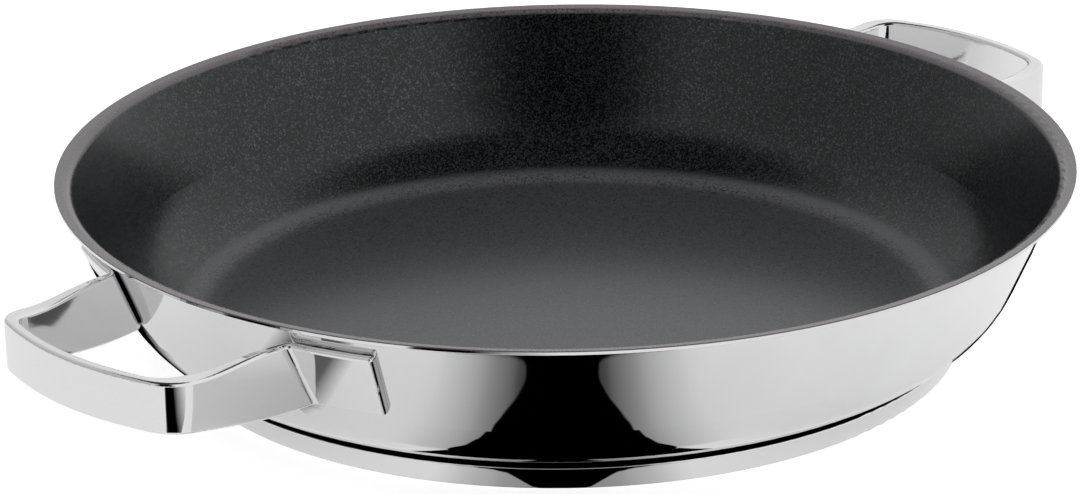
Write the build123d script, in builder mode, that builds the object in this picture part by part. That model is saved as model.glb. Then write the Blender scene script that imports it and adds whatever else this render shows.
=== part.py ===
from build123d import *
from math import cos, radians, sqrt, tan
import os

# Serving pan with two short bail handles, standing on its base, in millimetres.
# The origin is the centre of the base on the table, +Z is up and the handles lie along X.

# Pan body: one drawn steel shell with a flared pouring rim
rim_radius = 145.0
rim_height = 52.5
rim_width = 3.4
rim_rise = 8.0
rim_curl_radius = 2.0
rim_edge_round = 0.4
wall_lean = 23.4
corner_radius = 31.0
shell_thickness = 1.0

# Non-stick coat over the inside of the shell, out to the rim's edge
coat_thickness = 0.3
coat_edge_round = 0.15

# Sandwich base: an aluminium disc closed in under the shell by a pressed steel cap
disc_thickness = 4.0
cap_thickness = 0.8
cap_inset = 8.6
cap_side_lean = 22.0
cap_height = 7.4
cap_foot_round = 1.2
cap_shoulder_round = 0.35

# Bail handles: one bent strap each, with two feet that lie on the wall
handle_projection = 42.5
handle_drop = 6.3
crossbar_height = 14.2
arm_waist_dip = 1.4
arm_waist_height = 14.9
crossbar_thickness = 3.4
crossbar_bow_radius = 90.0
handle_half_width = 35.7
handle_root_half_width = 37.2
arm_thickness = 6.7
arm_root_thickness = 2.7
outer_corner_radius = 10.5
inner_corner_radius = 7.0
upper_edge_round = 1.0
lower_edge_round = 0.6
foot_height = 19.2
foot_thickness = 2.4
foot_end_angle = 25.0
crease_radius = 1.5
bend_radius = 4.0

floor_underside = cap_thickness + disc_thickness
inside_depth = shell_thickness + coat_thickness

# Slopes of the wall and the rim, and the height where the wall turns out into the rim
wall_run = tan(radians(wall_lean))
rim_slope = tan(radians(rim_rise))
rim_bend_height = rim_height - inside_depth / cos(radians(rim_rise)) - rim_width * rim_slope


def wall_radius(height, depth=0.0):
    """Radius of the straight wall at a height, measured depth inside the shell's outer skin."""
    bend = rim_radius - rim_width
    return bend + (height - rim_bend_height) * wall_run - depth / cos(radians(wall_lean))


def skin_line(depth):
    """Corners of the section line that lies depth inside the outer skin, from the axis to the rim."""
    floor = floor_underside + depth
    rim_edge = rim_height - (inside_depth - depth) / cos(radians(rim_rise))
    base = wall_radius(0, depth)
    meet = (base + wall_run * (rim_edge - rim_radius * rim_slope)) / (1 - wall_run * rim_slope)
    return [
        (0, floor),
        (wall_radius(floor, depth), floor),
        (meet, rim_edge + (meet - rim_radius) * rim_slope),
        (rim_radius, rim_edge),
    ]


def skin_radii(depth):
    """Radii at the two bends of the section line at that depth."""
    return [corner_radius - depth, rim_curl_radius + depth]


# The space inside the shell's outer skin, used to cut whatever seats against it
with BuildPart(mode=Mode.PRIVATE) as pan_form:
    with BuildSketch(Plane.XZ):
        with BuildLine():
            skin = skin_line(0)
            FilletPolyline(*skin, radius=skin_radii(0))
            Polyline(skin[-1], (0, skin[-1][1]), skin[0])
        make_face()
    revolve(axis=Axis.Z)

# Shell
with BuildPart() as pan_body:
    with BuildSketch(Plane.XZ):
        with BuildLine():
            outside = skin_line(0)
            inside = skin_line(shell_thickness)
            FilletPolyline(*outside, radius=skin_radii(0))
            FilletPolyline(*inside, radius=skin_radii(shell_thickness))
            Line(outside[0], inside[0])
            Line(outside[-1], inside[-1])
        make_face()
        fillet(vertices().group_by(Axis.X)[-1].sort_by(Axis.Y)[0], rim_edge_round)
    revolve(axis=Axis.Z)

# Coat
with BuildPart() as nonstick_coating:
    with BuildSketch(Plane.XZ):
        with BuildLine():
            under = skin_line(shell_thickness)
            top = skin_line(inside_depth)
            FilletPolyline(*under, radius=skin_radii(shell_thickness))
            FilletPolyline(*top, radius=skin_radii(inside_depth))
            Line(under[0], top[0])
            Line(under[-1], top[-1])
        make_face()
        fillet(vertices().group_by(Axis.X)[-1].sort_by(Axis.Y)[-1], coat_edge_round)
    revolve(axis=Axis.Z)


def cap_corner(height, depth=0.0):
    """Radius of the cap's leaning side at a height, measured depth inside its outer face."""
    lean = radians(cap_side_lean)
    foot = wall_radius(floor_underside) - cap_inset
    return foot + height * tan(lean) - depth / cos(lean)


# Steel cap, pressed up around the disc until its lip meets the shell
with BuildPart() as base_cap:
    with BuildSketch(Plane.XZ):
        Polygon(
            (0, 0),
            (cap_corner(0), 0),
            (cap_corner(cap_height), cap_height),
            (0, cap_height),
            align=None,
        )
        fillet(vertices().group_by(Axis.Y)[0].sort_by(Axis.X)[-1], cap_foot_round)
        fillet(vertices().group_by(Axis.Y)[-1].sort_by(Axis.X)[-1], cap_shoulder_round)
        lip_underside = cap_height - cap_thickness
        Polygon(
            (0, cap_thickness),
            (cap_corner(cap_thickness, cap_thickness), cap_thickness),
            (cap_corner(lip_underside, cap_thickness), lip_underside),
            (0, lip_underside),
            align=None,
            mode=Mode.SUBTRACT,
        )
    revolve(axis=Axis.Z)
    add(pan_form.part, mode=Mode.SUBTRACT)

# Aluminium disc, filling the cap up to the shell
with BuildPart() as heat_disc:
    with BuildSketch(Plane.XZ):
        Polygon(
            (0, cap_thickness),
            (cap_corner(cap_thickness, cap_thickness), cap_thickness),
            (cap_corner(lip_underside, cap_thickness), lip_underside),
            (0, lip_underside),
            align=None,
        )
    revolve(axis=Axis.Z)
    add(pan_form.part, mode=Mode.SUBTRACT)


# Heights of the handle, down from its upper edge below the rim
handle_top = rim_height - handle_drop
crossbar_low = handle_top - crossbar_height
arm_waist_top = handle_top - arm_waist_dip
arm_waist_low = arm_waist_top - arm_waist_height
foot_low = handle_top - foot_height

# The arms run from the wall out to the crossbar, and spread a little towards the wall
arm_root = wall_radius(handle_top)
handle_reach = arm_root + handle_projection
inner_reach = handle_reach - crossbar_thickness
inner_half_width = handle_half_width - arm_thickness
inner_root_half_width = handle_root_half_width - arm_root_thickness


def arm_line(reach, half_width, root_half_width, along):
    """Half width of one side of the strap's arms at a distance from the pan's centre."""
    spread = (root_half_width - half_width) / (reach - arm_root)
    return half_width + spread * (reach - along)


def strap_outline(reach, half_width, root_half_width, bow, corner):
    """Plan outline of one side of the strap: bowed crossbar, round corners and spread arms."""
    # The arm's line meets the crossbar's arc at this half width
    half = half_width
    for _ in range(20):
        along = reach - bow + sqrt(bow * bow - half * half)
        half = arm_line(reach, half_width, root_half_width, along)
    centre = arm_line(reach, half_width, root_half_width, 0)
    with BuildSketch() as outline:
        with BuildLine():
            ThreePointArc((along, -half), (reach, 0), (along, half))
            Polyline((along, half), (0, centre), (0, -centre), (along, -half))
        make_face()
        fillet(vertices().group_by(Axis.X)[-1], corner)
    return outline.sketch


def inner_arm(along):
    """Half width between the arms' inner faces at a distance from the pan's centre."""
    return arm_line(inner_reach, inner_half_width, inner_root_half_width, along)


strap_outer = strap_outline(
    handle_reach,
    handle_half_width,
    handle_root_half_width,
    crossbar_bow_radius,
    outer_corner_radius,
)
strap_inner = strap_outline(
    inner_reach,
    inner_half_width,
    inner_root_half_width,
    crossbar_bow_radius - crossbar_thickness,
    inner_corner_radius,
)

# Feet: a layer on the wall, kept from each arm's inner face out to the foot's end
foot_root = wall_radius(foot_low) * cos(radians(foot_end_angle)) - foot_thickness
foot_front = wall_radius(handle_top) + 2 * foot_thickness
foot_end_slope = tan(radians(foot_end_angle))

# The arms leave the feet level, and their upper and lower edges curve on the way to the crossbar
arm_start_low = wall_radius(foot_low, -foot_thickness)
arm_start_top = wall_radius(handle_top, -foot_thickness)
arm_waist = (arm_start_top + handle_reach) / 2
level = (1, 0)

with BuildPart(mode=Mode.PRIVATE) as feet:
    with BuildSketch(Plane.XZ):
        Polygon(
            (wall_radius(foot_low, foot_thickness), foot_low),
            (wall_radius(foot_low, -foot_thickness), foot_low),
            (wall_radius(handle_top, -foot_thickness), handle_top),
            (wall_radius(handle_top, foot_thickness), handle_top),
            align=None,
        )
    revolve(axis=Axis.Z)
    with BuildSketch():
        for side in (-1, 1):
            Polygon(
                (foot_root, side * inner_arm(foot_root)),
                (foot_front, side * inner_arm(foot_front)),
                (foot_front, side * foot_front * foot_end_slope),
                (foot_root, side * foot_root * foot_end_slope),
                align=None,
            )
    extrude(amount=rim_height, mode=Mode.INTERSECT)


# Two things this close to each other touch
touching = 0.01


def on_wall(edge):
    """True for an edge that lies on the shell's outer skin."""
    return all(
        abs(sqrt(spot.X**2 + spot.Y**2) - wall_radius(spot.Z)) < touching
        for spot in (edge @ 0, edge @ 0.5, edge @ 1)
    )


def off_wall(edge):
    """True for an edge that stands clear of the shell's outer skin."""
    return not on_wall(edge)


def upright(edge):
    """True for an edge that runs from the strap's lower edge to its upper one."""
    return abs((edge @ 0).Z - (edge @ 1).Z) > (handle_top - foot_low) / 2


def low(edge):
    """True for an edge of the strap's underside."""
    return max((edge @ 0).Z, (edge @ 1).Z) < crossbar_low + touching


def high(edge):
    """True for an edge of the strap's upper side."""
    return min((edge @ 0).Z, (edge @ 1).Z) > arm_waist_top - touching


with BuildPart(mode=Mode.PRIVATE) as handle_form:
    # Strap, standing on edge
    with BuildSketch(Plane.XY.offset(foot_low)):
        add(strap_outer)
        add(strap_inner, mode=Mode.SUBTRACT)
    extrude(amount=handle_top - foot_low)
    # Seen from the side it narrows along the arms
    with BuildSketch(Plane.XZ):
        with BuildLine():
            Polyline(
                (arm_start_top, handle_top),
                (foot_root, handle_top),
                (foot_root, foot_low),
                (arm_start_low, foot_low),
            )
            Spline(
                (arm_start_low, foot_low),
                (arm_waist, arm_waist_low),
                (handle_reach, crossbar_low),
                tangents=(level, level),
            )
            Line((handle_reach, crossbar_low), (handle_reach, handle_top))
            Spline(
                (arm_start_top, handle_top),
                (arm_waist, arm_waist_top),
                (handle_reach, handle_top),
                tangents=(level, level),
            )
        make_face()
    extrude(amount=handle_reach, both=True, mode=Mode.INTERSECT)
    add(feet.part)
    add(pan_form.part, mode=Mode.SUBTRACT)
    # Folds where the arms turn into the feet
    folds = edges().filter_by(GeomType.HYPERBOLA).filter_by(upright)
    fillet(folds.filter_by(off_wall), crease_radius)
    folds = edges().filter_by(GeomType.HYPERBOLA).filter_by(upright)
    fillet(folds.filter_by(on_wall), bend_radius)
    # Polished round edges
    foot_ends = edges().filter_by(upright).filter_by(off_wall).group_by(Axis.X)[0]
    fillet(edges().filter_by(high).filter_by(off_wall) + foot_ends, upper_edge_round)
    fillet(edges().filter_by(low).filter_by(off_wall), lower_edge_round)

os.makedirs("parts", exist_ok=True)
for name, piece in (
    ("pan_body", pan_body),
    ("nonstick_coating", nonstick_coating),
    ("heat_disc", heat_disc),
    ("base_cap", base_cap),
):
    piece.part.label = name
    export_step(piece.part, f"parts/{name}.step")

for name, turn in (("handle_left", 180), ("handle_right", 0)):
    with BuildPart() as handle:
        add(handle_form.part, rotation=(0, 0, turn))
    handle.part.label = name
    export_step(handle.part, f"parts/{name}.step")
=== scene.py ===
from math import atan2, cos, pi, radians, sin

import bpy
from bpy.props import FloatProperty, FloatVectorProperty, PointerProperty
from bpy.types import Operator, Panel, PropertyGroup
from mathutils import Matrix, Vector


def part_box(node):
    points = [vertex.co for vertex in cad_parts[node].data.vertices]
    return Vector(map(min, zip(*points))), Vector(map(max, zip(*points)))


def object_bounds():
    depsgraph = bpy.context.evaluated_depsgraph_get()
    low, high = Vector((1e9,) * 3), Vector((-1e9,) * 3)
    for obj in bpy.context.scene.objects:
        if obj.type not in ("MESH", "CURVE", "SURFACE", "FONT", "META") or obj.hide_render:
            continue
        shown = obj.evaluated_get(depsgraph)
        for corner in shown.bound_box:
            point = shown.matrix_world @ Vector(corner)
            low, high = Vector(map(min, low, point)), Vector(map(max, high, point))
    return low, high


bl_info = {
    "name": "Serving Pan",
    "version": (1, 0, 0),
    "blender": (4, 5, 0),
    "location": "View3D > Sidebar > Serving Pan",
    "description": "Finishes a steel serving pan with a dark lining and stands it in a soft white studio",
    "category": "Material",
}

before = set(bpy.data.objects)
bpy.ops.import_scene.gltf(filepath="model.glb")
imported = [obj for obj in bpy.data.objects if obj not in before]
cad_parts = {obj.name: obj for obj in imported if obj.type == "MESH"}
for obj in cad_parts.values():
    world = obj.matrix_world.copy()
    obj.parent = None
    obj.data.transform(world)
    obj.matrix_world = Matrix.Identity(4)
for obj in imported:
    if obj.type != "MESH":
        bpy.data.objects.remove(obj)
cad_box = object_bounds()

WHITE = (1.0, 1.0, 1.0, 1.0)
BLACK = (0.0, 0.0, 0.0, 1.0)

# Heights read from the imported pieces
PAN_TOP = cad_box[1].z
CAP_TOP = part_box("base_cap")[1].z

# Painted sheen: the lining is lighter up to just above the pan's floor, and darkens from there to the wall's
# tone
FLOOR_OF_PAN = 0.0062
FLOOR_TO_WALL = 0.0030

# Painted highlight: the corner between the pan's floor and its wall, where the lining's curve catches light,
# is paler
CORNER_STARTS = 0.0062
CORNER_FULL = 0.0066
CORNER_FADES = 0.0071
CORNER_ENDS = 0.0088

# Painted sheen: the rim's paler band of lining, down from the top, where the upturned rim catches light
RIM_BAND = 0.0018
RIM_BAND_BLUR = 0.0005

# Painted shade: a dull brown-black band on the cap's ledge and up the shell, standing in for the shaded gap
# and floor that the seam mirrors, and how far it reaches up the shell
SEAM_SHADE_TONE = (0.02, 0.019, 0.018, 1.0)
LEDGE_STARTS = CAP_TOP - 0.00012
LEDGE_FULL = CAP_TOP - 0.00004
SEAM_WIDTH = 0.0029
SEAM_BLUR = 0.0004


class NodeBench:
    """Adds nodes to one node tree and links them as they are made."""

    def __init__(self, tree):
        self.tree = tree
        tree.nodes.clear()

    def add(self, kind, settings=None, **inputs):
        """A new node. Inputs are named by their socket, with underscores for spaces."""
        made = self.tree.nodes.new(kind)
        for name, value in (settings or {}).items():
            setattr(made, name, value)
        for name, value in inputs.items():
            self.feed(made.inputs[name.replace("_", " ")], value)
        return made

    def feed(self, socket, value):
        """Links an output to the socket, or sets its value."""
        if isinstance(value, bpy.types.NodeSocket):
            self.tree.links.new(value, socket)
        else:
            socket.default_value = value

    def math(self, operation, first, second=None, clamp=False):
        """The result of a Math node."""
        made = self.add("ShaderNodeMath", {"operation": operation, "use_clamp": clamp})
        self.feed(made.inputs[0], first)
        if second is not None:
            self.feed(made.inputs[1], second)
        return made.outputs[0]

    def rescale(self, value, low, high, to_low=0.0, to_high=1.0):
        """The value brought from one range to another, held inside it."""
        made = self.add("ShaderNodeMapRange", {"clamp": True})
        for place, number in enumerate((value, low, high, to_low, to_high)):
            self.feed(made.inputs[place], number)
        return made.outputs[0]

    def mix(self, kind, share, first, second):
        """Two values of one kind mixed."""
        made = self.add("ShaderNodeMix", {"data_type": kind})
        self.feed(made.inputs["Factor"], share)
        self.feed(made.inputs["A"], first)
        self.feed(made.inputs["B"], second)
        return made.outputs["Result"]

    def blend(self, share, first, second):
        """Two colours mixed."""
        return self.mix("RGBA", share, first, second)

    def noise(self, vector, scale, detail=2.0, roughness=0.5):
        """Soft noise from 0 to 1."""
        made = self.add(
            "ShaderNodeTexNoise",
            Vector=vector,
            Scale=scale,
            Detail=detail,
            Roughness=roughness,
        )
        return made.outputs["Fac"]

    def cells(self, vector, scale):
        """The random colours of a pattern of cells."""
        made = self.add("ShaderNodeTexVoronoi", {"feature": "F1"}, Vector=vector, Scale=scale)
        return made.outputs["Color"]

    def place(self):
        """Where a point lies, in metres in the object's own frame."""
        return self.add("ShaderNodeTexCoord").outputs["Object"]

    def split(self, vector):
        """The three parts of a vector."""
        made = self.add("ShaderNodeSeparateXYZ", Vector=vector)
        return made.outputs[0], made.outputs[1], made.outputs[2]

    def join(self, x, y, z):
        """A vector from three parts."""
        return self.add("ShaderNodeCombineXYZ", X=x, Y=y, Z=z).outputs[0]

    def along(self, x, y, way):
        """How far a level place or direction reaches along another level direction."""
        return self.math("ADD", self.math("MULTIPLY", x, way[0]), self.math("MULTIPLY", y, way[1]))

    def from_axis(self, x, y):
        """How far a level place lies from the pan's axis."""
        squares = self.math("ADD", self.math("MULTIPLY", x, x), self.math("MULTIPLY", y, y))
        return self.math("SQRT", squares)

    def round_place(self):
        """Radius, height and angle of a point round the pan's axis."""
        x, y, z = self.split(self.place())
        return self.from_axis(x, y), z, self.math("ARCTAN2", y, x)

    def profile(self, value, points):
        """A height read off a line drawn through (place, height) points."""
        first, last = points[0][0], points[-1][0]
        top = max(height for _, height in points)
        ramp = self.add("ShaderNodeValToRGB", Fac=self.rescale(value, first, last))
        ramp.color_ramp.interpolation = "CARDINAL"
        stops = ramp.color_ramp.elements
        while len(stops) < len(points):
            stops.new(1.0)
        for stop, (place, height) in zip(stops, points):
            level = height / top
            stop.position = (place - first) / (last - first)
            stop.color = (level, level, level, 1.0)
        return self.math("MULTIPLY", ramp.outputs["Color"], top)

    def bump(self, height, distance, strength=1.0, below=None):
        """A normal raised by a height pattern, over another bump if one is given."""
        made = self.add("ShaderNodeBump", Height=height, Distance=distance, Strength=strength)
        if below is not None:
            self.feed(made.inputs["Normal"], below)
        return made.outputs["Normal"]


def new_material(name):
    """An empty material and the bench to build it on."""
    material = bpy.data.materials.new(name)
    material.use_nodes = True
    return material, NodeBench(material.node_tree)


def new_finish(name):
    """An empty material with one Principled surface, and the bench to build it on."""
    material, bench = new_material(name)
    surface = bench.add("ShaderNodeBsdfPrincipled")
    bench.add("ShaderNodeOutputMaterial", Surface=surface.outputs["BSDF"])
    return material, bench, surface


def darkened(tint, share):
    """A share of a colour, opaque."""
    return tuple(share * part for part in tint[:3]) + (1.0,)


def wear(node_name, material):
    """Gives a CAD node one finish over all of its faces."""
    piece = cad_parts[node_name]
    if not piece.material_slots:
        raise RuntimeError(f"{node_name} has no material slot")
    for slot in piece.material_slots:
        slot.material = material


# In the finishes below, the scale of a noise is in repeats per metre, SEEN is the part of its range that
# shows, and HAZE is the least and most blur, as shares of the steel's own haze

# Polished shell
SHELL_LINES = {"scale": 5200.0, "detail": 3.0, "roughness": 0.7}
SHELL_LINE_STRETCH = 0.0006
SHELL_LINE_STRENGTH = 0.5
SHELL_LINE_SHARE = 0.25
SHELL_SMEARS = {"scale": 26.0, "detail": 3.0, "roughness": 0.55}
SHELL_SMEARS_SEEN = (0.35, 0.75)
SHELL_HAZE = (0.7, 1.6)
SHELL_SCUFFS = {"scale": 55.0, "detail": 6.0, "roughness": 0.75}
SHELL_SCUFF_SQUEEZE = 14.0
SHELL_SCUFFS_SEEN = (0.62, 0.78)
SHELL_SCUFF_HAZE = 0.05
SHELL_TONE_SEEN = (0.35, 0.95)
SHELL_DARKER = 0.93


def polished_steel(name, tint, roughness, line_depth):
    """Mirror steel of a spun pan: faint polishing lines run round it, with soft smears and fine scuffs."""
    material, bench, surface = new_finish(name)
    radius, height, angle = bench.round_place()
    round_lines = bench.join(radius, height, bench.math("MULTIPLY", angle, SHELL_LINE_STRETCH))
    lines = bench.noise(round_lines, **SHELL_LINES)
    smears = bench.noise(bench.place(), **SHELL_SMEARS)
    squeezed = bench.math("MULTIPLY", height, SHELL_SCUFF_SQUEEZE)
    scuffs = bench.noise(bench.join(radius, squeezed, angle), **SHELL_SCUFFS)
    dull = bench.rescale(smears, *SHELL_SMEARS_SEEN, *(roughness * share for share in SHELL_HAZE))
    marks = bench.rescale(scuffs, *SHELL_SCUFFS_SEEN, 0.0, SHELL_SCUFF_HAZE)
    bench.feed(surface.inputs["Roughness"], bench.math("ADD", dull, marks))
    tone = bench.math("ADD", smears, bench.math("MULTIPLY", lines, SHELL_LINE_SHARE))
    tone = bench.rescale(tone, *SHELL_TONE_SEEN)
    polished = bench.blend(tone, darkened(tint, SHELL_DARKER), tuple(tint))
    # Painted shade: a dark band round the seam, up from the cap's top, where the steel mirrors the shaded
    # gap and floor
    seam_top = CAP_TOP + SEAM_WIDTH
    seam = bench.rescale(height, seam_top, seam_top + SEAM_BLUR, 1.0, 0.0)
    bench.feed(surface.inputs["Base Color"], bench.blend(seam, polished, SEAM_SHADE_TONE))
    surface.inputs["Metallic"].default_value = 1.0
    bench.feed(surface.inputs["Normal"], bench.bump(lines, line_depth, SHELL_LINE_STRENGTH))
    return material


# Speckled lining. Each fleck is one cell, picked by the cell's own random colour. The fine flecks take their
# tint from the large cell that they lie in
COAT_IOR = 1.45
COAT_HAZE_CHANGE = (-0.04, 0.05)
FINE_FLECK_RATIO = 1.7
LARGE_FLECKS_PICKED = (0.65, 0.95)
FINE_FLECKS_PICKED = (0.72, 1.0)
FINE_FLECK_SHARE = 0.9
BLUE_TO_GREEN = (0.35, 0.65)
COOL_TO_WARM = (0.66, 0.74)
FLECK_METAL = 0.75
RIM_FLECK_SHARE = 0.35
CLOUDS = {"scale": 60.0, "detail": 3.0, "roughness": 0.5}
CLOUDS_SEEN = (0.25, 0.75)
CLOUD_SHARE = (0.7, 1.0)
GRAIN = {"scale": 2600.0, "detail": 3.0, "roughness": 0.65}
GRAIN_DEPTH = 0.00001
GRAIN_STRENGTH = 0.5
SPRAY = {"scale": 420.0, "detail": 2.0, "roughness": 0.5}
SPRAY_DEPTH = 0.00002
SPRAY_STRENGTH = 0.3


def speckled_coat(name, settings):
    """Matt dark lining: near-black charcoal full of fine metallic flecks, with a painted highlight in the
    paler corner and painted sheen on the paler rim and the lighter floor.
    """
    material, bench, surface = new_finish(name)
    place = bench.place()
    height = bench.split(place)[2]
    scale = 1.0 / settings.fleck_size
    pick, shade, tilt = bench.split(bench.cells(place, scale))
    fine_pick, fine_shade, _ = bench.split(bench.cells(place, FINE_FLECK_RATIO * scale))
    cool_share = bench.rescale(shade, *BLUE_TO_GREEN)
    cool = bench.blend(cool_share, tuple(settings.blue_fleck), tuple(settings.green_fleck))
    flake = bench.blend(bench.rescale(tilt, *COOL_TO_WARM), cool, tuple(settings.warm_fleck))
    large = bench.rescale(pick, *LARGE_FLECKS_PICKED)
    small = bench.rescale(fine_pick, *FINE_FLECKS_PICKED, 0.0, FINE_FLECK_SHARE)
    clouds = bench.rescale(bench.noise(place, **CLOUDS), *CLOUDS_SEEN, *CLOUD_SHARE)
    share = bench.math("MULTIPLY", bench.math("MAXIMUM", large, small), clouds, clamp=True)

    # Painted sheen: the lining over the pan's floor is lighter than on the wall
    level = bench.rescale(height, FLOOR_OF_PAN, FLOOR_OF_PAN + FLOOR_TO_WALL, 1.0, 0.0)
    ground = bench.blend(level, tuple(settings.coat_tint), tuple(settings.floor_coat_sheen_tint))
    # Painted highlight round the corner of the pan's floor
    risen = bench.rescale(height, CORNER_STARTS, CORNER_FULL)
    not_past = bench.rescale(height, CORNER_FADES, CORNER_ENDS, 1.0, 0.0)
    ground = bench.blend(bench.math("MULTIPLY", risen, not_past), ground, tuple(settings.corner_highlight_tint))
    lining = bench.blend(share, ground, flake)
    # Painted sheen on the rim's band of lining
    rim_start = PAN_TOP - RIM_BAND
    rim = bench.rescale(height, rim_start, rim_start + RIM_BAND_BLUR)
    rim_share = bench.math("MULTIPLY", share, RIM_FLECK_SHARE)
    rim_tone = bench.blend(rim_share, tuple(settings.rim_sheen_tint), flake)
    bench.feed(surface.inputs["Base Color"], bench.blend(rim, lining, rim_tone))

    bench.feed(surface.inputs["Metallic"], bench.math("MULTIPLY", share, FLECK_METAL))
    haze = [settings.coat_roughness + change for change in COAT_HAZE_CHANGE]
    bench.feed(surface.inputs["Roughness"], bench.rescale(fine_shade, 0.0, 1.0, *haze))
    surface.inputs["IOR"].default_value = COAT_IOR
    low = bench.bump(bench.noise(place, **SPRAY), SPRAY_DEPTH, SPRAY_STRENGTH)
    fine_bump = bench.bump(bench.noise(place, **GRAIN), GRAIN_DEPTH, GRAIN_STRENGTH, low)
    bench.feed(surface.inputs["Normal"], fine_bump)
    return material


# Base cap. The underside is turned, and its rings fade out over these heights at the lower edge
UNDER_FADES = 0.0002
UNDER_ENDS = 0.0009
BASE_SMEARS = {"scale": 30.0, "detail": 3.0}
BASE_SMEARS_SEEN = (0.3, 0.8)
BASE_HAZE = (0.8, 1.8)
FINE_RINGS = {"scale": 9000.0, "detail": 4.0, "roughness": 0.75}
FINE_RING_STRETCH = 0.0004
FINE_RINGS_SEEN = (0.25, 0.75)
TURNED_ROUGHNESS = (0.2, 0.38)
WOBBLE = {"scale": 90.0, "detail": 2.0}
WOBBLE_STRETCH = 0.02
TURNED_TONE_SEEN = (0.7, 1.3)
TURNED_DARKER = 0.8
RING_SHARE = 0.3
RING_DEPTH = 0.00002
RING_STRENGTH = 0.6


def base_steel(name, tint, roughness, ring_pitch):
    """Pressed steel cap: polished side, and an underside turned in fine rings."""
    material, bench, surface = new_finish(name)
    radius, height, angle = bench.round_place()
    under = bench.rescale(height, UNDER_FADES, UNDER_ENDS, 1.0, 0.0)
    wobble = bench.noise(bench.join(radius, 0.0, bench.math("MULTIPLY", angle, WOBBLE_STRETCH)), **WOBBLE)
    stretched = bench.math("MULTIPLY", angle, FINE_RING_STRETCH)
    fine_rings = bench.noise(bench.join(radius, 0.0, stretched), **FINE_RINGS)
    rings = bench.math("SINE", bench.math("MULTIPLY", radius, 2 * pi / ring_pitch))
    smears = bench.noise(bench.place(), **BASE_SMEARS)
    side_rough = bench.rescale(smears, *BASE_SMEARS_SEEN, *(roughness * share for share in BASE_HAZE))
    turned_rough = bench.rescale(fine_rings, *FINE_RINGS_SEEN, *TURNED_ROUGHNESS)
    bench.feed(surface.inputs["Roughness"], bench.mix("FLOAT", under, side_rough, turned_rough))
    tone = bench.rescale(bench.math("ADD", fine_rings, wobble), *TURNED_TONE_SEEN, 1.0, 0.0)
    tone = bench.math("MULTIPLY", under, tone)
    turned = bench.blend(tone, tuple(tint), darkened(tint, TURNED_DARKER))
    # Painted shade: the same dark tone on the top of the cap's ledge
    ledge = bench.rescale(height, LEDGE_STARTS, LEDGE_FULL)
    bench.feed(surface.inputs["Base Color"], bench.blend(ledge, turned, SEAM_SHADE_TONE))
    surface.inputs["Metallic"].default_value = 1.0
    raised = bench.math("ADD", fine_rings, bench.math("MULTIPLY", rings, RING_SHARE))
    raised = bench.math("MULTIPLY", raised, under)
    bench.feed(surface.inputs["Normal"], bench.bump(raised, RING_DEPTH, RING_STRENGTH))
    return material


# Handle straps
STRAP_STRETCH = 0.12
STRAP_LINES = {"scale": 3800.0, "detail": 3.0, "roughness": 0.7}
STRAP_LINES_SEEN = (0.3, 0.7)
STRAP_LINE_DEPTH = 0.000001
STRAP_LINE_STRENGTH = 0.2
STRAP_RIPPLE = {"scale": 48.0, "detail": 1.0, "roughness": 0.4}
STRAP_SMEARS = {"scale": 60.0, "detail": 3.0}
STRAP_SMEARS_SEEN = (0.35, 0.8)
STRAP_HAZE = (0.7, 1.9)
STRAP_DARKER = 0.97


def handle_steel(name, tint, roughness, ripple_depth):
    """Bent strap steel: mirror polish with a slight ripple left by the press, and fine lines along it."""
    material, bench, surface = new_finish(name)
    x, y, z = bench.split(bench.place())
    stretched_x = bench.math("MULTIPLY", x, STRAP_STRETCH)
    stretched_y = bench.math("MULTIPLY", y, STRAP_STRETCH)
    lines = bench.noise(bench.join(stretched_x, stretched_y, z), **STRAP_LINES)
    ripple = bench.noise(bench.place(), **STRAP_RIPPLE)
    smears = bench.noise(bench.place(), **STRAP_SMEARS)
    haze = bench.rescale(smears, *STRAP_SMEARS_SEEN, *(roughness * share for share in STRAP_HAZE))
    bench.feed(surface.inputs["Roughness"], haze)
    line_share = bench.rescale(lines, *STRAP_LINES_SEEN)
    lined = bench.blend(line_share, darkened(tint, STRAP_DARKER), tuple(tint))
    bench.feed(surface.inputs["Base Color"], lined)
    surface.inputs["Metallic"].default_value = 1.0
    waved = bench.bump(ripple, ripple_depth)
    bench.feed(surface.inputs["Normal"], bench.bump(lines, STRAP_LINE_DEPTH, STRAP_LINE_STRENGTH, waved))
    return material


# Disc inside the base
ROLLED_STRETCH = 0.04
ROLLED_GRAIN = {"scale": 2600.0, "detail": 4.0, "roughness": 0.7}
ROLLED_GRAIN_SEEN = (0.2, 0.8)
ROLLED_ROUGHNESS = (0.3, 0.5)
ROLLED_DARKER = 0.85
ROLLED_DEPTH = 0.00001
ROLLED_STRENGTH = 0.4


def rolled_aluminium(name, tint):
    """Plain rolled disc, closed in between the shell and the cap."""
    material, bench, surface = new_finish(name)
    x, y, z = bench.split(bench.place())
    grain = bench.noise(bench.join(bench.math("MULTIPLY", x, ROLLED_STRETCH), y, z), **ROLLED_GRAIN)
    bench.feed(surface.inputs["Roughness"], bench.rescale(grain, *ROLLED_GRAIN_SEEN, *ROLLED_ROUGHNESS))
    bench.feed(surface.inputs["Base Color"], bench.blend(grain, darkened(tint, ROLLED_DARKER), tuple(tint)))
    surface.inputs["Metallic"].default_value = 1.0
    bench.feed(surface.inputs["Normal"], bench.bump(grain, ROLLED_DEPTH, ROLLED_STRENGTH))
    return material


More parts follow.
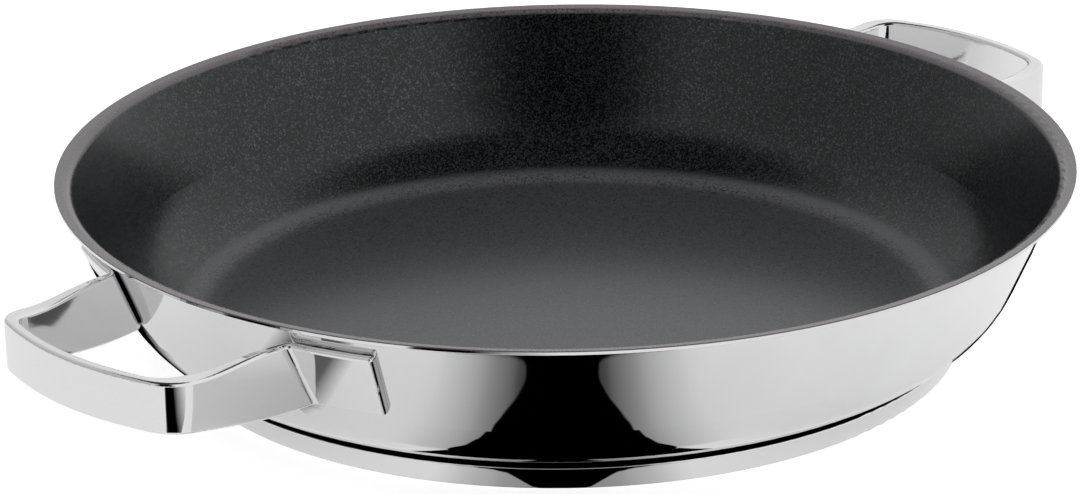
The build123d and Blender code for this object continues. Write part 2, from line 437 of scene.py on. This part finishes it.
class PanSteelSettings(PropertyGroup):
    """Finish of the shell, the handles, the cap and the disc in the base."""

    steel_tint: FloatVectorProperty(
        name="Steel", description="Colour that the polished steel gives to reflections",
        subtype="COLOR", size=4, min=0.0, max=1.0, default=(0.76, 0.76, 0.765, 1.0),
    )
    steel_roughness: FloatProperty(
        name="Steel haze", description="How much the mirror polish blurs reflections",
        min=0.0, max=1.0, default=0.05,
    )
    line_depth: FloatProperty(
        name="Polishing lines", description="Depth of the polishing lines round the shell",
        subtype="DISTANCE", unit="LENGTH", min=0.0, default=0.000002,
    )
    ripple_depth: FloatProperty(
        name="Handle ripple", description="Depth of the slight waves that the press left in the handles",
        subtype="DISTANCE", unit="LENGTH", min=0.0, default=0.00025,
    )
    ring_pitch: FloatProperty(
        name="Turned ring pitch", description="Distance between the turned rings under the base",
        subtype="DISTANCE", unit="LENGTH", min=0.0001, default=0.0011,
    )
    core_tint: FloatVectorProperty(
        name="Aluminium", description="Colour of the disc inside the base",
        subtype="COLOR", size=4, min=0.0, max=1.0, default=(0.78, 0.78, 0.79, 1.0),
    )


class PanCoatSettings(PropertyGroup):
    """Finish of the dark lining."""

    coat_tint: FloatVectorProperty(
        name="Coat", description="Ground colour of the lining",
        subtype="COLOR", size=4, min=0.0, max=1.0, default=(0.0016, 0.0018, 0.0022, 1.0),
    )
    # Painted sheen: the floor's lining gets a lighter colour than the wall's, for the light that it catches
    floor_coat_sheen_tint: FloatVectorProperty(
        name="Coat on the floor", description="Ground colour of the lining over the pan's floor",
        subtype="COLOR", size=4, min=0.0, max=1.0, default=(0.075, 0.078, 0.084, 1.0),
    )
    # Painted highlight: the paler colour in the corner round the pan's floor
    corner_highlight_tint: FloatVectorProperty(
        name="Corner", description="Ground colour of the lining in the corner round the pan's floor",
        subtype="COLOR", size=4, min=0.0, max=1.0, default=(0.140, 0.134, 0.143, 1.0),
    )
    # Painted sheen: the paler colour of the lining over the rim
    rim_sheen_tint: FloatVectorProperty(
        name="Rim", description="Colour of the lining where it covers the rim",
        subtype="COLOR", size=4, min=0.0, max=1.0, default=(0.185, 0.160, 0.174, 1.0),
    )
    blue_fleck: FloatVectorProperty(
        name="Blue fleck", description="Colour of the blue flecks",
        subtype="COLOR", size=4, min=0.0, max=1.0, default=(0.070, 0.100, 0.116, 1.0),
    )
    green_fleck: FloatVectorProperty(
        name="Green fleck", description="Colour of the green flecks",
        subtype="COLOR", size=4, min=0.0, max=1.0, default=(0.070, 0.114, 0.101, 1.0),
    )
    warm_fleck: FloatVectorProperty(
        name="Warm fleck", description="Colour of the warm grey flecks",
        subtype="COLOR", size=4, min=0.0, max=1.0, default=(0.122, 0.110, 0.115, 1.0),
    )
    fleck_size: FloatProperty(
        name="Fleck size", description="Size of one fleck",
        subtype="DISTANCE", unit="LENGTH", min=0.0001, default=0.00050,
    )
    coat_roughness: FloatProperty(
        name="Coat haze", description="How much the lining blurs reflections",
        min=0.0, max=1.0, default=0.23,
    )


class PanStudioSettings(PropertyGroup):
    """Floor, light and camera."""

    floor_tint: FloatVectorProperty(
        name="Floor", description="Colour of the floor",
        subtype="COLOR", size=4, min=0.0, max=1.0, default=(0.9, 0.9, 0.9, 1.0),
    )
    lamp_power: FloatProperty(
        name="Lamp power", description="Power of the large soft lamp",
        subtype="POWER", unit="POWER", min=0.0, default=6.0,
    )
    room_light: FloatProperty(
        name="Room light", description="Strength of the even light from all sides",
        min=0.0, default=0.35,
    )
    focal_length: FloatProperty(
        name="Lens", description="Focal length of the camera on a 36 mm wide sensor",
        unit="CAMERA", min=1.0, default=133.33,
    )


class PAN_OT_polish_body(Operator):
    """Polish the steel shell"""

    bl_idname = "pan.polish_body"
    bl_label = "Polish the shell"

    def execute(self, context):
        steel = context.scene.pan_steel
        wear("pan_body", polished_steel(
            "polished_shell_steel", steel.steel_tint, steel.steel_roughness, steel.line_depth))
        return {"FINISHED"}


class PAN_OT_spray_coat(Operator):
    """Spray the speckled dark lining over the inside and the rim"""

    bl_idname = "pan.spray_coat"
    bl_label = "Spray the lining"

    def execute(self, context):
        wear("nonstick_coating", speckled_coat("speckled_lining", context.scene.pan_coat))
        return {"FINISHED"}


class PAN_OT_finish_base(Operator):
    """Polish the cap's side, turn its underside and finish the disc inside"""

    bl_idname = "pan.finish_base"
    bl_label = "Finish the base"

    def execute(self, context):
        steel = context.scene.pan_steel
        wear("base_cap", base_steel(
            "turned_base_steel", steel.steel_tint, steel.steel_roughness, steel.ring_pitch))
        wear("heat_disc", rolled_aluminium("rolled_disc_aluminium", steel.core_tint))
        return {"FINISHED"}


class PAN_OT_polish_handles(Operator):
    """Polish the two strap handles"""

    bl_idname = "pan.polish_handles"
    bl_label = "Polish the handles"

    def execute(self, context):
        steel = context.scene.pan_steel
        finish = handle_steel(
            "polished_handle_steel", steel.steel_tint, steel.steel_roughness, steel.ripple_depth)
        for side in ("left", "right"):
            wear(f"handle_{side}", finish)
        return {"FINISHED"}


# The photograph's viewpoint
CAMERA_PLACE = Vector((-0.75094, -0.76951, 0.43716))
CAMERA_AIM = Vector((-0.01409, -0.00384, 0.03))
CAMERA_ROLL = radians(-1.041)
CAMERA_NEAR = 0.05
CAMERA_FAR = 60.0
SENSOR_WIDTH = 36.0

# The level directions from the pan's axis to the camera and to the photographer's right, and the turn that
# brings +Y onto the first
TOWARD = CAMERA_PLACE.xy.normalized()
RIGHTWARD = (-TOWARD.y, TOWARD.x)
CARD_TURN = atan2(TOWARD.y, TOWARD.x) - pi / 2

# The floor lies a hair under the pan. It is lifted to white for the camera, and in part for mirrored rays
FLOOR_HALF = 9.0
FLOOR_HEIGHT = -0.00002
FLOOR_LIFT_SEEN = 0.74
FLOOR_LIFT_MIRRORED = 0.48

# One large soft lamp
LAMP_PLACE = Vector((0.35, -0.1, 1.5))
LAMP_AIM = Vector((0.0, 0.0, 0.0))
LAMP_SIZE = 1.4

# Dark opening round the camera, as the lining and the handles mirror it
OPENING_HALF_ANGLE = radians(15.0)
OPENING_BLUR = radians(16.0)
OPENING_TOP = radians(55.0)

# Darker reaches of the room, as mirrored: overhead, and on the photographer's left, where the start and the
# end say how far a direction points to the right
ZENITH_START = radians(48.0)
ZENITH_END = radians(62.0)
ZENITH_LEVEL = 0.05
LEFT_START = 0.2
LEFT_END = -0.8
LEFT_LEVEL = 0.55
# Straight up and down no level part is left to divide by, so it is held above this
SMALLEST_DIVISOR = 0.001

# The cards lie just over the floor. Their x runs to the photographer's left, and their y to the camera
CARD_HEIGHT = 0.0003

# Dark flag in front of the base. Its outline is (radius from the pan's axis, half width)
FLAG_OUTLINE = (
    (0.1120, 0.0050), (0.1136, 0.0075), (0.1175, 0.0155), (0.1182, 0.0210), (0.1190, 0.0320),
    (0.1250, 0.0285), (0.1310, 0.0258), (0.1370, 0.0236), (0.1410, 0.0215), (0.1460, 0.0178),
    (0.1508, 0.0143), (0.1555, 0.0134), (0.1585, 0.0156), (0.1598, 0.0240), (0.1612, 0.0450),
)
# Its middle line, and the blur of its edge
FLAG_CENTRE = 0.0021
FLAG_EDGE = 0.0006
# Its card reaches from near to far, and fades out at either side
FLAG_NEAR = 0.080
FLAG_FAR = 0.175
FLAG_FADE_START = 0.045
FLAG_FADE_END = 0.085
# Close to the base, the wall mirrors a wider flag than the cap does. Rays from the wall have come further
# before they meet it
FLAG_UNDER_WALL = 0.1190
FLAG_INMOST = 0.1100
FLAG_WIDE = 0.0330
FLAG_WIDEST = 0.0460
FLAG_FROM_CAP = 0.0080
FLAG_FROM_WALL = 0.0088
# How bright the floor beside the flag is, as (distance from its middle, level)
FLAG_SHADE = ((0.011, 0.04), (0.018, 0.14), (0.030, 0.42), (0.045, 0.75), (0.060, 0.86))
# Close to the base that floor is lighter
FLAG_BASE = 0.118
FLAG_BASE_BLUR = 0.003
FLAG_BASE_LIFT = 0.3
# How steep a mirrored ray must be to see all of the flag, as the share 1 - cosine, and what the others miss
FLAG_STEEP = 0.46
FLAG_SHALLOW = 0.56
FLAG_MISSED = 0.75

# Shades on the floor beside the wall, as corners. Only shallow mirrored rays see them, by the same share
LEFT_SHADE = (
    (0.155, -0.018), (0.145, 0.002), (0.132, 0.031), (0.121, 0.052), (0.112, 0.068), (0.102, 0.062),
    (0.112, 0.020), (0.112, -0.060), (0.150, -0.080),
)
RIGHT_SHADE = (
    (-0.165, -0.050), (-0.153, -0.032), (-0.137, -0.002), (-0.120, 0.034), (-0.1135, 0.046),
    (-0.1105, 0.040), (-0.114, 0.010), (-0.112, -0.040),
)
SHADE_STEEP = 0.42
SHADE_SHALLOW = 0.50

# Black cards that the near handle mirrors: their ends to the sides and towards the camera, and the width of
# the soft edge at either side
CORNER_FLAG = {"sides": (0.006, 0.1135), "towards": (0.206, 0.32), "soft": (0.062, 0.005)}
ARM_SHADE = {"sides": (0.080, 0.112), "towards": (0.102, 0.136), "soft": (0.008, 0.008), "share": 0.85}


def mirrored(bench):
    """1 for rays that come by way of a mirroring or a clear surface."""
    path = bench.add("ShaderNodeLightPath").outputs
    return bench.math("MAXIMUM", path["Is Glossy Ray"], path["Is Transmission Ray"])


def from_camera(bench):
    """1 for rays straight from the camera."""
    return bench.add("ShaderNodeLightPath").outputs["Is Camera Ray"]


def shallowness(bench):
    """How shallow a ray meets a card: 0 for one straight down, and towards 1 for one along it."""
    return bench.add("ShaderNodeLayerWeight", Blend=0.5).outputs["Facing"]


def rectangle(sides, towards):
    """Four corners from the two ends each way."""
    return (sides[0], towards[0]), (sides[1], towards[0]), (sides[1], towards[1]), (sides[0], towards[1])


def lay_card(name, corners, material):
    """A flat, level stage card with the given corners."""
    mesh = bpy.data.meshes.new(name)
    mesh.from_pydata([(x, y, 0.0) for x, y in corners], [], [tuple(range(len(corners)))])
    mesh.materials.append(material)
    card = bpy.data.objects.new(name, mesh)
    bpy.context.scene.collection.objects.link(card)
    return card


def lay_mirrored_card(name, corners, material):
    """A stage card turned to the camera, which shows in reflections and nowhere else."""
    card = lay_card(name, corners, material)
    card.matrix_world = Matrix.Rotation(CARD_TURN, 4, "Z") @ Matrix.Translation((0.0, 0.0, CARD_HEIGHT))
    card.visible_camera = False
    card.visible_diffuse = False
    card.visible_shadow = False
    card.visible_transmission = False
    card.visible_volume_scatter = False


def end_with_mix(bench, share, first, second):
    """Ends a card's material with a mix of two surfaces."""
    mix = bench.add("ShaderNodeMixShader", Fac=share)
    bench.feed(mix.inputs[1], first.outputs[0])
    bench.feed(mix.inputs[2], second.outputs[0])
    bench.add("ShaderNodeOutputMaterial", Surface=mix.outputs[0])


def end_with_black(bench, share):
    """Ends a card's material: black by the given share, and otherwise clear."""
    clear = bench.add("ShaderNodeBsdfTransparent")
    black = bench.add("ShaderNodeEmission", Color=BLACK, Strength=0.0)
    end_with_mix(bench, share, clear, black)


def lay_floor(tint):
    """White studio floor that keeps a faint shadow."""
    material, bench = new_material("studio_floor_white")
    matt = bench.add("ShaderNodeBsdfDiffuse", Color=tuple(tint))
    level = bench.math("MULTIPLY", from_camera(bench), FLOOR_LIFT_SEEN)
    level = bench.math("ADD", level, bench.math("MULTIPLY", mirrored(bench), FLOOR_LIFT_MIRRORED))
    lift = bench.add("ShaderNodeEmission", Color=WHITE, Strength=level)
    both = bench.add("ShaderNodeAddShader")
    bench.feed(both.inputs[0], matt.outputs[0])
    bench.feed(both.inputs[1], lift.outputs[0])
    bench.add("ShaderNodeOutputMaterial", Surface=both.outputs[0])
    ends = (-FLOOR_HALF, FLOOR_HALF)
    floor = lay_card("studio_floor", rectangle(ends, ends), material)
    floor.location = (0, 0, FLOOR_HEIGHT)


def light_world(strength):
    """Even white surroundings. The steel and the lining also mirror the dark opening round the camera."""
    world = bpy.data.worlds.new("white_studio")
    bpy.context.scene.world = world
    world.use_nodes = True
    bench = NodeBench(world.node_tree)
    x, y, z = bench.split(bench.add("ShaderNodeTexCoord").outputs["Generated"])
    level_part = bench.math("SQRT", bench.math("SUBTRACT", 1.0, bench.math("MULTIPLY", z, z), clamp=True))
    level_part = bench.math("MAXIMUM", level_part, SMALLEST_DIVISOR)
    beside = bench.math("DIVIDE", bench.along(x, y, TOWARD), level_part)
    opening = bench.rescale(beside, cos(OPENING_HALF_ANGLE + OPENING_BLUR), cos(OPENING_HALF_ANGLE))
    below_top = bench.rescale(z, sin(OPENING_TOP), sin(OPENING_TOP + OPENING_BLUR), 1.0, 0.0)
    mirror_level = bench.math("SUBTRACT", 1.0, bench.math("MULTIPLY", opening, below_top))
    overhead = bench.rescale(z, sin(ZENITH_START), sin(ZENITH_END), 1.0, ZENITH_LEVEL)
    mirror_level = bench.math("MULTIPLY", mirror_level, overhead)
    on_left = bench.rescale(bench.along(x, y, RIGHTWARD), LEFT_END, LEFT_START, LEFT_LEVEL, 1.0)
    mirror_level = bench.math("MULTIPLY", mirror_level, on_left)
    level = bench.math("MULTIPLY", mirrored(bench), mirror_level)
    level = bench.math("ADD", level, from_camera(bench))
    rest = bench.math("SUBTRACT", 1.0, bench.math("MAXIMUM", mirrored(bench), from_camera(bench)))
    level = bench.math("ADD", level, bench.math("MULTIPLY", rest, strength))
    back = bench.add("ShaderNodeBackground", Color=WHITE, Strength=level)
    bench.add("ShaderNodeOutputWorld", Surface=back.outputs[0])


def flag_half_width(bench, radius):
    """Half width of the front flag, wider close to the base for the rays that come from the wall."""
    travelled = bench.add("ShaderNodeLightPath").outputs["Ray Length"]
    from_wall = bench.rescale(travelled, FLAG_FROM_CAP, FLAG_FROM_WALL)
    under_wall = bench.math("MULTIPLY", from_wall, bench.math("LESS_THAN", radius, FLAG_UNDER_WALL))
    widened = bench.rescale(radius, FLAG_INMOST, FLAG_UNDER_WALL, FLAG_WIDEST, FLAG_WIDE)
    widened = bench.math("MULTIPLY", under_wall, widened)
    return bench.math("MAXIMUM", bench.profile(radius, FLAG_OUTLINE), widened)


def lay_front_flag():
    """Dark flag in front of the base, which the front wall mirrors between two white patches."""
    material, bench = new_material("front_flag_black")
    x, y, _ = bench.split(bench.place())
    off_centre = bench.math("ABSOLUTE", bench.math("SUBTRACT", x, FLAG_CENTRE))
    radius = bench.from_axis(x, y)
    past = bench.math("SUBTRACT", off_centre, flag_half_width(bench, radius))
    white = bench.rescale(past, 0.0, FLAG_EDGE)
    near_base = bench.rescale(radius, FLAG_BASE, FLAG_BASE + FLAG_BASE_BLUR, FLAG_BASE_LIFT, 0.0)
    shade = bench.math("ADD", bench.profile(off_centre, FLAG_SHADE), near_base)
    shade = bench.math("MINIMUM", FLAG_SHADE[-1][1], shade)
    level = bench.math("MULTIPLY", white, shade)
    glow = bench.add("ShaderNodeEmission", Color=WHITE, Strength=level)
    clear = bench.add("ShaderNodeBsdfTransparent")
    hidden = bench.rescale(shallowness(bench), FLAG_STEEP, FLAG_SHALLOW, 0.0, FLAG_MISSED)
    faded = bench.rescale(off_centre, FLAG_FADE_START, FLAG_FADE_END)
    end_with_mix(bench, bench.math("MAXIMUM", hidden, faded), glow, clear)
    corners = rectangle((-FLAG_FADE_END, FLAG_FADE_END), (FLAG_NEAR, FLAG_FAR))
    lay_mirrored_card("front_flag", corners, material)


def lay_dark_card(name, sides, towards, soft, share=1.0):
    """Black card on the floor, with a soft edge of its own width at either side."""
    material, bench = new_material(name + "_black")
    x = bench.split(bench.place())[0]
    right_edge = bench.rescale(x, sides[0], sides[0] + soft[0], 0.0, share)
    left_edge = bench.rescale(x, sides[1] - soft[1], sides[1], share, 0.0)
    end_with_black(bench, bench.math("MINIMUM", right_edge, left_edge))
    lay_mirrored_card(name, rectangle(sides, towards), material)


def lay_shade(name, corners):
    """Dark patch on the floor beside the wall, which the steel mirrors as a thin line along its outline."""
    material, bench = new_material(name + "_black")
    end_with_black(bench, bench.rescale(shallowness(bench), SHADE_STEEP, SHADE_SHALLOW))
    lay_mirrored_card(name, corners, material)


def hang_lamp(power):
    """One large soft lamp, which the steel doesn't mirror."""
    data = bpy.data.lights.new("top_softbox", "AREA")
    data.shape = "SQUARE"
    data.size = LAMP_SIZE
    data.energy = power
    lamp = bpy.data.objects.new("top_softbox", data)
    lamp.location = LAMP_PLACE
    lamp.rotation_euler = (LAMP_AIM - LAMP_PLACE).to_track_quat("-Z", "Y").to_euler()
    lamp.visible_glossy = False
    bpy.context.scene.collection.objects.link(lamp)


def stand_camera(focal_length):
    """Camera at the photograph's angle."""
    data = bpy.data.cameras.new("camera")
    data.lens = focal_length
    data.sensor_width = SENSOR_WIDTH
    data.clip_start = CAMERA_NEAR
    data.clip_end = CAMERA_FAR
    camera = bpy.data.objects.new("camera", data)
    look = (CAMERA_AIM - CAMERA_PLACE).to_track_quat("-Z", "Y").to_matrix().to_4x4()
    camera.matrix_world = Matrix.Translation(CAMERA_PLACE) @ look @ Matrix.Rotation(CAMERA_ROLL, 4, "Z")
    bpy.context.scene.collection.objects.link(camera)
    bpy.context.scene.camera = camera


class PAN_OT_set_studio(Operator):
    """Lay the floor and its cards, hang the lamp and stand the camera"""

    bl_idname = "pan.set_studio"
    bl_label = "Set up the studio"

    def execute(self, context):
        studio = context.scene.pan_studio
        lay_floor(studio.floor_tint)
        light_world(studio.room_light)
        lay_front_flag()
        lay_shade("left_shade", LEFT_SHADE)
        lay_shade("right_shade", RIGHT_SHADE)
        lay_dark_card("corner_flag", **CORNER_FLAG)
        lay_dark_card("arm_shade", **ARM_SHADE)
        hang_lamp(studio.lamp_power)
        stand_camera(studio.focal_length)
        context.scene.view_settings.view_transform = "Standard"
        return {"FINISHED"}


class PAN_PT_sidebar(Panel):
    """Sizes, colours and steps of the serving pan"""

    bl_label = "Serving Pan"
    bl_idname = "PAN_PT_sidebar"
    bl_space_type = "VIEW_3D"
    bl_region_type = "UI"
    bl_category = "Serving Pan"

    def draw(self, context):
        layout = self.layout
        for group in (context.scene.pan_steel, context.scene.pan_coat, context.scene.pan_studio):
            column = layout.column(align=True)
            for name in type(group).__annotations__:
                column.prop(group, name)
        for step in STEPS:
            layout.operator(step.bl_idname)


SETTINGS = (PanSteelSettings, PanCoatSettings, PanStudioSettings)
STEPS = (
    PAN_OT_polish_body,
    PAN_OT_spray_coat,
    PAN_OT_finish_base,
    PAN_OT_polish_handles,
    PAN_OT_set_studio,
)


def register():
    """Registers the settings, the steps and the panel."""
    for part in (*SETTINGS, *STEPS, PAN_PT_sidebar):
        bpy.utils.register_class(part)
    bpy.types.Scene.pan_steel = PointerProperty(type=PanSteelSettings)
    bpy.types.Scene.pan_coat = PointerProperty(type=PanCoatSettings)
    bpy.types.Scene.pan_studio = PointerProperty(type=PanStudioSettings)


def unregister():
    """Takes back what register added."""
    del bpy.types.Scene.pan_studio
    del bpy.types.Scene.pan_coat
    del bpy.types.Scene.pan_steel
    for part in reversed((*SETTINGS, *STEPS, PAN_PT_sidebar)):
        bpy.utils.unregister_class(part)


def main():
    """Builds the whole scene."""
    register()
    bpy.ops.pan.polish_body()
    bpy.ops.pan.spray_coat()
    bpy.ops.pan.finish_base()
    bpy.ops.pan.polish_handles()
    bpy.ops.pan.set_studio()


if __name__ == "__main__":
    main()
